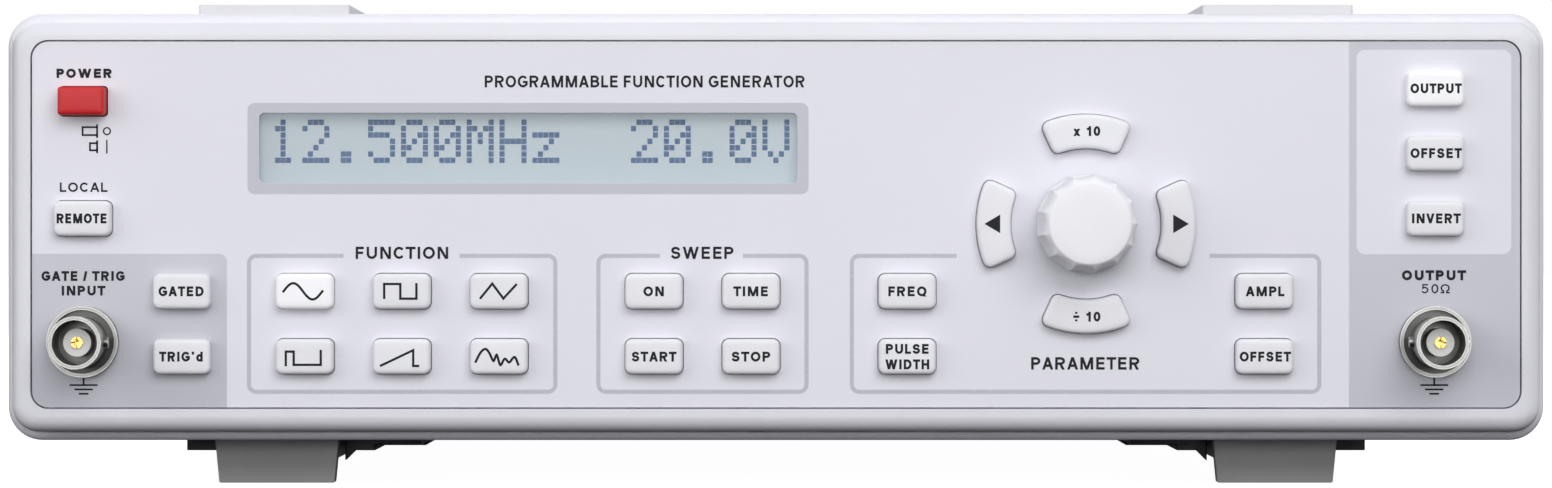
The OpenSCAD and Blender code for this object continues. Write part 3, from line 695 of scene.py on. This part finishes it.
def make_knob():
    """Moulded knob whose face breaks into flat cuts that run down its side."""
    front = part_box("parameter_knob")[0].y
    bm = bmesh.new()
    rings = []
    for radius, cut, depth in KNOB_ROWS:
        ring = cut_ring(radius * MM, cut)
        rings.append([bm.verts.new((KNOB.x + x, front + depth * MM, KNOB.z + z)) for x, z in ring])
    skin(bm, rings)
    mesh = mesh_from("knob_cap", bm, KNOB_SMOOTH)
    piece = add_piece("knob_cap", mesh, MATERIALS["knob_plastic"], "knob")
    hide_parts("parameter_knob")


# ------------------------------------------------------------------ printing

# In millimetres: thickness, corner radius, foot and top of the frame lines, the corner radii
# of the panel and of a square corner, and the middle and half size of the display window.
FRAME_LINE, FRAME_R, FRAME_FOOT, FIELD_LINE_TOP = 0.75, 1.7, 17.8, 43.6
PANEL_R, SQUARE = 3.0, 0.1
LCD_X, LCD_Z, LCD_HALF_W, LCD_HALF_H = -45.65, 63.1, 49.7, 6.55

def panel_print(name, outlines, material, layer=1):
    """Print on the front panel; a higher layer lies over a lower one."""
    return printed(name, outlines, PANEL_Y - (layer - 1) * INK_T, material, "body")


def mm_outline(x0, x1, z0, z1, r):
    """Rounded outline given in millimetres."""
    radii = [q * MM for q in r] if isinstance(r, tuple) else r * MM
    return rounded_outline(x0 * MM, x1 * MM, z0 * MM, z1 * MM, radii)


def frame_line(name, x0, x1, gap):
    """Rounded frame line in the lower half, whose top is open between gap[0] and gap[1]."""
    half = FRAME_LINE / 2
    left, right = x0 + half, x1 - half
    low, high = FRAME_FOOT + half, FIELD_LINE_TOP - half
    r = FRAME_R - half
    path = [(gap[0], high)]
    corners = [(left + r, high - r, 90, 180), (left + r, low + r, 180, 270),
               (right - r, low + r, 270, 360), (right - r, high - r, 0, 90)]
    for cx, cz, start, end in corners:
        path += bow(cx, cz, r, r, start, end)
    path.append((gap[1], high))
    points = [(x * MM, z * MM) for x, z in path]
    stroke_piece(name, [(points, False)], FRAME_LINE * MM, PANEL_Y - INK_T, PANEL_Y, INK_GREY, "body")


def panel_fields():
    """Darker printed fields, the light inset, the display surround and the frame lines."""
    left, right, low, high = PANEL_LO.x / MM, PANEL_HI.x / MM, PANEL_LO.z / MM, PANEL_HI.z / MM
    gate = mm_outline(left, -101.2, low, FIELD_LINE_TOP, (1.5, SQUARE, PANEL_R, SQUARE))
    output = mm_outline(105.6, right, low, high, (PANEL_R, SQUARE, SQUARE, PANEL_R))
    panel_print("gate_field", [gate], FIELD_DARK)
    panel_print("output_field", [output], FIELD_RIGHT)
    panel_print("output_inset", [mm_outline(107.0, 135.5, 43.5, 81.2, 1.6)], INK_LIGHT, 2)
    surround = mm_outline(-97.4, 6.0, 54.6, 71.4, 1.3)
    window = mm_outline(LCD_X - LCD_HALF_W, LCD_X + LCD_HALF_W, LCD_Z - LCD_HALF_H, LCD_Z + LCD_HALF_H, 1.2)
    panel_print("display_surround", [surround, window], FIELD_DISPLAY)
    frame_line("function_frame", -97.5, -40.3, (-79.7, -58.3))
    frame_line("sweep_frame", -33.1, 6.0, (-21.4, -6.1))
    frame_line("parameter_frame", 13.6, 100.5, (33.3, 79.9))


# Single-line letters. Each is a width and its strokes, in parts of the cap height; a
# stroke runs along the middle of the line, and True after it closes it.
ROUND = bow(0.5, 0.5, 0.5, 0.5, 0, 345)
STEM = [(0, 0), (0, 1)]
BOWL_P = [(0, 1), (0.55, 1)] + bow(0.55, 0.74, 0.45, 0.26, 90, -90) + [(0, 0.48)]
LETTERS = {
    "A": (0.96, [[(0.05, 0), (0.5, 1)], [(0.95, 0), (0.5, 1)], [(0.28, 0.27), (0.72, 0.27)]]),
    "B": (0.78, [[(0, 0.53), (0, 1), (0.5, 1)] + bow(0.5, 0.765, 0.42, 0.235, 75, -90), True,
                 [(0, 0), (0, 0.53), (0.5, 0.53)] + bow(0.5, 0.265, 0.5, 0.265, 75, -90), True]),
    "C": (0.84, [bow(0.53, 0.5, 0.53, 0.5, 54, 306)]),
    "D": (0.84, [[(0, 0), (0, 1), (0.4, 1)] + bow(0.4, 0.5, 0.6, 0.5, 75, -90), True]),
    "E": (0.68, [[(1, 1), (0, 1), (0, 0), (1, 0)], [(0, 0.52), (0.9, 0.52)]]),
    "F": (0.64, [[(1, 1), (0, 1), (0, 0)], [(0, 0.5), (0.88, 0.5)]]),
    "G": (0.9, [bow(0.53, 0.5, 0.53, 0.5, 54, 315) + [(1, 0.2), (1, 0.45), (0.66, 0.45)]]),
    "H": (0.82, [STEM, [(1, 0), (1, 1)], [(0, 0.5), (1, 0.5)]]),
    "I": (0, [STEM]),
    "L": (0.62, [[(0, 1), (0, 0), (1, 0)]]),
    "M": (1.04, [STEM, [(1, 0), (1, 1)], [(0.05, 1), (0.5, 0)], [(0.95, 1), (0.5, 0)]]),
    "N": (0.84, [STEM, [(1, 0), (1, 1)], [(0.06, 1), (0.94, 0)]]),
    "O": (0.94, [ROUND, True]),
    "P": (0.74, [STEM, BOWL_P]),
    "Q": (0.94, [ROUND, True, [(0.6, 0.22), (0.95, -0.03)]]),
    "R": (0.8, [STEM, BOWL_P, [(0.5, 0.5), (0.93, 0)]]),
    "S": (0.76, [bow(0.5, 0.75, 0.46, 0.25, 30, 250) + bow(0.5, 0.26, 0.5, 0.26, 70, -150)]),
    "T": (0.78, [[(0, 1), (1, 1)], [(0.5, 1), (0.5, 0)]]),
    "U": (0.82, [[(0, 1)] + bow(0.5, 0.38, 0.5, 0.38, 180, 360) + [(1, 1)]]),
    "V": (0.92, [[(0.05, 1), (0.5, 0)], [(0.95, 1), (0.5, 0)]]),
    "W": (1.36, [[(0.03, 1), (0.27, 0)], [(0.5, 1), (0.27, 0)],
                 [(0.5, 1), (0.73, 0)], [(0.97, 1), (0.73, 0)]]),
    "d": (0.68, [bow(0.5, 0.34, 0.5, 0.34, 0, 345), True, [(1, 0), (1, 1)]]),
    "x": (0.76, [[(0.08, 0), (0.92, 0.74)], [(0.08, 0.74), (0.92, 0)]]),
    "0": (0.68, [ROUND, True]),
    "1": (0.46, [[(1, 0), (1, 1)], [(0.1, 0.78), (0.9, 0.9)]]),
    "5": (0.66, [[(0.92, 1), (0.14, 1), (0.08, 0.52)] + bow(0.46, 0.33, 0.54, 0.33, 115, -140)]),
    "'": (0, [[(0, 0.7), (0, 1)]]),
    "/": (0.46, [[(0, 0), (1, 1)]]),
    "÷": (0.66, [[(0.1, 0.5), (0.9, 0.5)], [(0.5, 0.78), (0.5, 0.98)], [(0.5, 0.02), (0.5, 0.22)]]),
    "Ω": (0.94, [[(0.05, 0), (0.3, 0)] + bow(0.5, 0.58, 0.46, 0.42, 240, -60) + [(0.7, 0), (0.95, 0)]]),
}
LETTER_GAP = 0.25          # between letters, in parts of the cap height
WORD_GAP = 0.36            # added for a space
# Open or slanted letters stand closer, on both sides.
TUCK = {"A": 0.1, "C": 0.05, "F": 0.03, "G": 0.04, "L": 0.05, "O": 0.04, "P": 0.03, "Q": 0.04, "R": 0.02,
        "S": 0.03, "T": 0.09, "V": 0.1, "W": 0.06, "/": 0.05, "Ω": 0.1}


def lettering(name, words, x, base, cap, width, bold, front, back, body):
    """Words of single-line letters, fitted to a cap height and a width in millimetres.

    bold is the line's width in parts of the cap height.
    """
    line = bold * cap
    strokes, pen = [], 0.0
    for letter in words:
        if letter == " ":
            pen += WORD_GAP * cap
            continue
        letter_w, parts = LETTERS[letter]
        pen -= TUCK.get(letter, 0) * cap
        span = letter_w * cap - line if letter_w else 0.0
        for part, following in zip(parts, parts[1:] + [None]):
            if part is True:
                continue
            steep = is_steep([(u * span, v * cap) for u, v in part])
            rise = [v * cap if steep else line / 2 + v * (cap - line) for u, v in part]
            points = [Vector((pen + line / 2 + u * span, z)) for (u, v), z in zip(part, rise)]
            if not steep and following is not True:
                points[0] = points[0] + (points[0] - points[1]).normalized() * line / 2
                points[-1] = points[-1] + (points[-1] - points[-2]).normalized() * line / 2
            strokes.append((points, following is True))
        pen += span + line + (LETTER_GAP - TUCK.get(letter, 0)) * cap
    pen -= LETTER_GAP * cap
    stretch = width / pen
    placed = []
    for points, closed in strokes:
        placed.append(([((x + (u - pen / 2) * stretch) * MM, (base + v) * MM) for u, v in points], closed))
    stroke_piece(name, placed, line * MM, front, back, INK_BLACK, body)


# name, words, middle, baseline, cap height, width and line share of the words on the panel
PANEL_WORDS = [
    ("word_power", "POWER", -127.5, 76.0, 1.72, 10.1, 0.27),
    ("word_local", "LOCAL", -127.6, 55.0, 1.74, 8.6, 0.19),
    ("word_gate_trig", "GATE / TRIG", -127.7, 38.6, 1.8, 15.2, 0.25),
    ("word_input", "INPUT", -127.7, 35.9, 1.8, 7.9, 0.25),
    ("word_output", "OUTPUT", 121.2, 38.7, 1.86, 11.6, 0.27),
    ("word_fifty_ohm", "50Ω", 121.5, 36.3, 1.72, 5.1, 0.16),
    ("word_function", "FUNCTION", -68.9, 42.65, 2.25, 17.0, 0.2),
    ("word_sweep", "SWEEP", -13.6, 42.65, 2.25, 11.4, 0.2),
    ("word_parameter", "PARAMETER", 57.0, 22.25, 2.3, 19.8, 0.2),
    ("word_title", "PROGRAMMABLE FUNCTION GENERATOR", -24.2, 74.25, 2.2, 58.8, 0.19),
]
# words, width of each line of the words on the keys
KEY_WORDS = {
    "key_local": [("REMOTE", 9.1)], "key_gated": [("GATED", 8.2)], "key_trig": [("TRIG'd", 7.85)],
    "key_sweep_on": [("ON", 3.7)], "key_sweep_time": [("TIME", 6.2)], "key_sweep_start": [("START", 8.0)],
    "key_sweep_stop": [("STOP", 7.0)], "key_freq": [("FREQ", 6.9)], "key_amplitude": [("AMPL", 6.9)],
    "key_pulse_width": [("PULSE", 7.8), ("WIDTH", 8.0)], "key_param_offset": [("OFFSET", 9.2)],
    "key_output": [("OUTPUT", 9.2)], "key_dc_offset": [("OFFSET", 9.2)], "key_invert": [("INVERT", 8.8)],
    "key_times_ten": [("x 10", 5.0)], "key_divide_ten": [("÷ 10", 5.1)],
}
KEY_CAP = 1.82             # cap height on the keys, in millimetres
KEY_BOLD = 0.24
KEY_LINE_GAP = 2.84        # between two lines of words on a key
WAVE_LINE = 0.44
LEGEND_DEPTH, LEGEND_RISE = 0.1 * MM, 0.012 * MM
ARC_REACH = 17.05 * MM     # from the knob's middle to that of a key round it
ARROW_TIP, ARROW_BACK, ARROW_HALF = 1.75, 1.15, 1.72


def rounded_path(points, steps=5):
    """Smooth curve through the points (Catmull-Rom)."""
    ends = [points[0]] + list(points) + [points[-1]]
    path = []
    for p0, p1, p2, p3 in zip(ends, ends[1:], ends[2:], ends[3:]):
        for i in range(steps):
            t = i / steps
            path.append(tuple(0.5 * (2 * b + (c - a) * t + (2 * a - 5 * b + 4 * c - d) * t * t
                                     + (3 * b - a - 3 * c + d) * t ** 3)
                              for a, b, c, d in zip(p0, p1, p2, p3)))
    return path + [points[-1]]


# The waves on the keys, in millimetres about the key's middle.
SINE = [(-3.95 + 7.41 * t / 24, 1.5 * math.sin(2 * math.pi * (t / 24 * 1.04 - 0.02))) for t in range(25)]
WAVES = {
    "key_sine": SINE,
    "key_square": [(-3.16, -1.41), (-3.16, 1.35), (-0.2, 1.35), (-0.2, -1.35), (2.76, -1.35), (2.76, 1.51)],
    "key_triangle": [(-3.42, -1.38), (-1.15, 1.41), (0.89, -1.32), (3.36, 1.35)],
    "key_pulse": [(-3.39, -1.78), (-3.39, 0.92), (-1.94, 0.92), (-1.94, -1.51), (3.03, -1.51), (3.03, 1.25)],
    "key_sawtooth": [(-3.95, -1.74), (2.17, 1.18), (2.17, -1.71), (3.29, -1.71)],
    "key_arbitrary": rounded_path([
        (-4.28, -1.12), (-3.29, 0.76), (-2.37, 1.41), (-1.65, 0.59), (-0.92, -0.79), (-0.33, 0.33),
        (0.33, -1.55), (1.15, -0.39), (1.97, -1.05), (2.96, -0.07), (3.69, -1.65)]),
}


def legend_middle(node):
    """Middle of a key's legend, in millimetres."""
    if node not in ARC_KEYS:
        middle = centre(node)
        return middle.x / MM, middle.z / MM
    turn = math.radians(ARC_KEYS[node])
    return (KNOB.x + ARC_REACH * math.cos(turn)) / MM, (KNOB.z + ARC_REACH * math.sin(turn)) / MM


def key_legends():
    """Words, waves and arrows on the keys, a little sunk so that they follow the crown."""
    for node in KEY_NODES:
        x, z = legend_middle(node)
        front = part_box(node)[0].y - LEGEND_RISE
        back = front + LEGEND_DEPTH
        lines = KEY_WORDS.get(node, [])
        for i, (words, width) in enumerate(lines):
            base = z - KEY_CAP / 2 + KEY_LINE_GAP * ((len(lines) - 1) / 2 - i)
            lettering(f"{node}_word_{i + 1}", words, x, base, KEY_CAP, width, KEY_BOLD, front, back,
                      node)
        if node in WAVES:
            points = [((x + dx) * MM, (z + dz) * MM) for dx, dz in WAVES[node]]
            stroke_piece(f"{node}_wave", [(points, False)], WAVE_LINE * MM, front, back, INK_BLACK,
                         node)
        if node in ("key_cursor_left", "key_cursor_right"):
            side = 1 if node == "key_cursor_right" else -1
            tip, tail = (x + side * ARROW_TIP) * MM, (x - side * ARROW_BACK) * MM
            outline = [(tip, z * MM), (tail, (z + ARROW_HALF) * MM), (tail, (z - ARROW_HALF) * MM)]
            printed(f"{node}_arrow", [outline], back, INK_BLACK, node, LEGEND_DEPTH)


def panel_words():
    """The words printed on the panel."""
    for name, words, x, base, cap, width, bold in PANEL_WORDS:
        lettering(name, words, x, base, cap, width, bold, PANEL_Y - 2 * INK_T, PANEL_Y,
                  "body")


def bar(x0, x1, z0, z1):
    """Square-cornered outline given in millimetres."""
    return [(x1 * MM, z1 * MM), (x0 * MM, z1 * MM), (x0 * MM, z0 * MM), (x1 * MM, z0 * MM)]


def circle(x, z, r):
    """Round outline given in millimetres."""
    turns = [2 * math.pi * i / 32 for i in range(32)]
    return [((x + r * math.cos(a)) * MM, (z + r * math.sin(a)) * MM) for a in turns]


# In millimetres: line width and top of the earth symbols, the width and height of each of
# their bars, and the line width of the switch symbols.
EARTH_LINE, EARTH_STEM_TOP = 0.34, 20.75
EARTH_BARS = ((5.15, 19.4), (3.4, 18.6), (1.8, 17.8))
SWITCH_LINE = 0.34


def panel_symbols():
    """Earth symbols under the sockets and the switch-position symbols."""
    half = EARTH_LINE / 2
    for name, x in (("gate_earth", -127.6), ("output_earth", 121.3)):
        outlines = [bar(x - half, x + half, EARTH_BARS[0][1], EARTH_STEM_TOP)]
        outlines += [bar(x - w / 2, x + w / 2, z - half, z + half) for w, z in EARTH_BARS]
        for i, outline in enumerate(outlines):
            panel_print(f"{name}_{i + 1}", [outline], INK_BLACK, 2)
    line = SWITCH_LINE
    for name, x0, z0, z1 in (("out", -127.96, 65.3, 67.1), ("in", -126.6, 62.5, 64.15)):
        x1 = -124.95
        inner = bar(x0 + line, x1 - line, z0 + line, z1 - line)
        panel_print(f"switch_{name}_body", [bar(x0, x1, z0, z1), inner], INK_BLACK, 2)
        panel_print(f"switch_{name}_plate", [bar(x1 - line, x1, z0 - 0.35, z1 + 0.35)], INK_BLACK, 2)
    panel_print("switch_off", [circle(-123.3, 66.2, 0.76), circle(-123.3, 66.2, 0.5)], INK_BLACK, 2)
    panel_print("switch_on", [bar(-123.45, -123.2, 62.1, 64.6)], INK_BLACK, 2)


# ------------------------------------------------------------------ display

GLYPHS = {
    "1": ["..#..", ".##..", "..#..", "..#..", "..#..", "..#..", ".###."],
    "2": [".###.", "#...#", "....#", "...#.", "..#..", ".#...", "#####"],
    "5": ["#####", "#....", "####.", "....#", "....#", "#...#", ".###."],
    "0": [".###.", "#...#", "#..##", "#.#.#", "##..#", "#...#", ".###."],
    ".": [".....", ".....", ".....", ".....", ".....", ".##..", ".##.."],
    "M": ["#...#", "##.##", "#.#.#", "#.#.#", "#...#", "#...#", "#...#"],
    "H": ["#...#", "#...#", "#...#", "#####", "#...#", "#...#", "#...#"],
    "z": [".....", ".....", "#####", "...#.", "..#..", ".#...", "#####"],
    "V": ["#...#", "#...#", "#...#", "#...#", "#...#", ".#.#.", "..#.."],
}


READING = "12.500MHz  20.0V"
# Millimetres: width of a character's place, pitch of the dots, and the corner of the first one.
CELL, PITCH_X, PITCH_Z = 6.078, 1.013, 1.174
DOTS_LEFT, DOTS_TOP = -93.72, 68.5
DOT_SIZE = (0.93 * PITCH_X * MM, 0.04 * MM, 0.86 * PITCH_Z * MM)


def display_dots():
    """Characters of 5 by 7 dots on the display glass."""
    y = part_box("lcd_glass")[0].y - 0.01 * MM
    bm = bmesh.new()
    for place, letter in enumerate(READING):
        for row, line in enumerate(GLYPHS.get(letter, [])):
            for column, mark in enumerate(line):
                if mark != "#":
                    continue
                x = DOTS_LEFT + place * CELL + (column + 0.5) * PITCH_X
                z = DOTS_TOP - (row + 0.5) * PITCH_Z
                stand = Matrix.Translation((x * MM, y, z * MM)) @ Matrix.Diagonal((*DOT_SIZE, 1))
                bmesh.ops.create_cube(bm, size=1, matrix=stand)
    add_piece("display_dots", mesh_from("display_dots", bm), DOT_BLUE, "body")


# ------------------------------------------------------------------ CAD nodes

# Bevel width in millimetres of the nodes whose edges are softened.
SOFT_EDGES = {
    "stacking_pads": 0.5, "foot_bases": 0.3, "rear_feet": 0.5,
    "left_tilt_leg": 0.25, "right_tilt_leg": 0.25, "mains_inlet": 0.3, "fuse_drawer": 0.25,
    "interface_module": 0.15,
}


def dress_cad_nodes():
    """Gives every CAD node its material and softens the edges that show."""
    for name, obj in nodes.items():
        mesh = obj.data
        if "custom_normal" in mesh.attributes:
            mesh.attributes.remove(mesh.attributes["custom_normal"])
        mesh.shade_smooth()
        weld = obj.modifiers.new("weld", "WELD")
        weld.merge_threshold = 1e-6
        if name in SOFT_EDGES:
            bevel = obj.modifiers.new("bevel", "BEVEL")
            bevel.width = SOFT_EDGES[name] * MM
            bevel.segments = 3
            bevel.limit_method = "ANGLE"
            bevel.angle_limit = math.radians(50)
            bevel.use_clamp_overlap = False
        split = obj.modifiers.new("edge_split", "EDGE_SPLIT")
        split.split_angle = math.radians(35)
        weighted = obj.modifiers.new("weighted_normal", "WEIGHTED_NORMAL")
        weighted.weight = 100
        paint(obj, MATERIALS[NODE_SLOT[name]])


place_camera()
place_lights()
make_surround()
make_floor()
dress_cad_nodes()
make_keys()
make_power_button()
make_knob()
panel_fields()
panel_words()
panel_symbols()
key_legends()
display_dots()
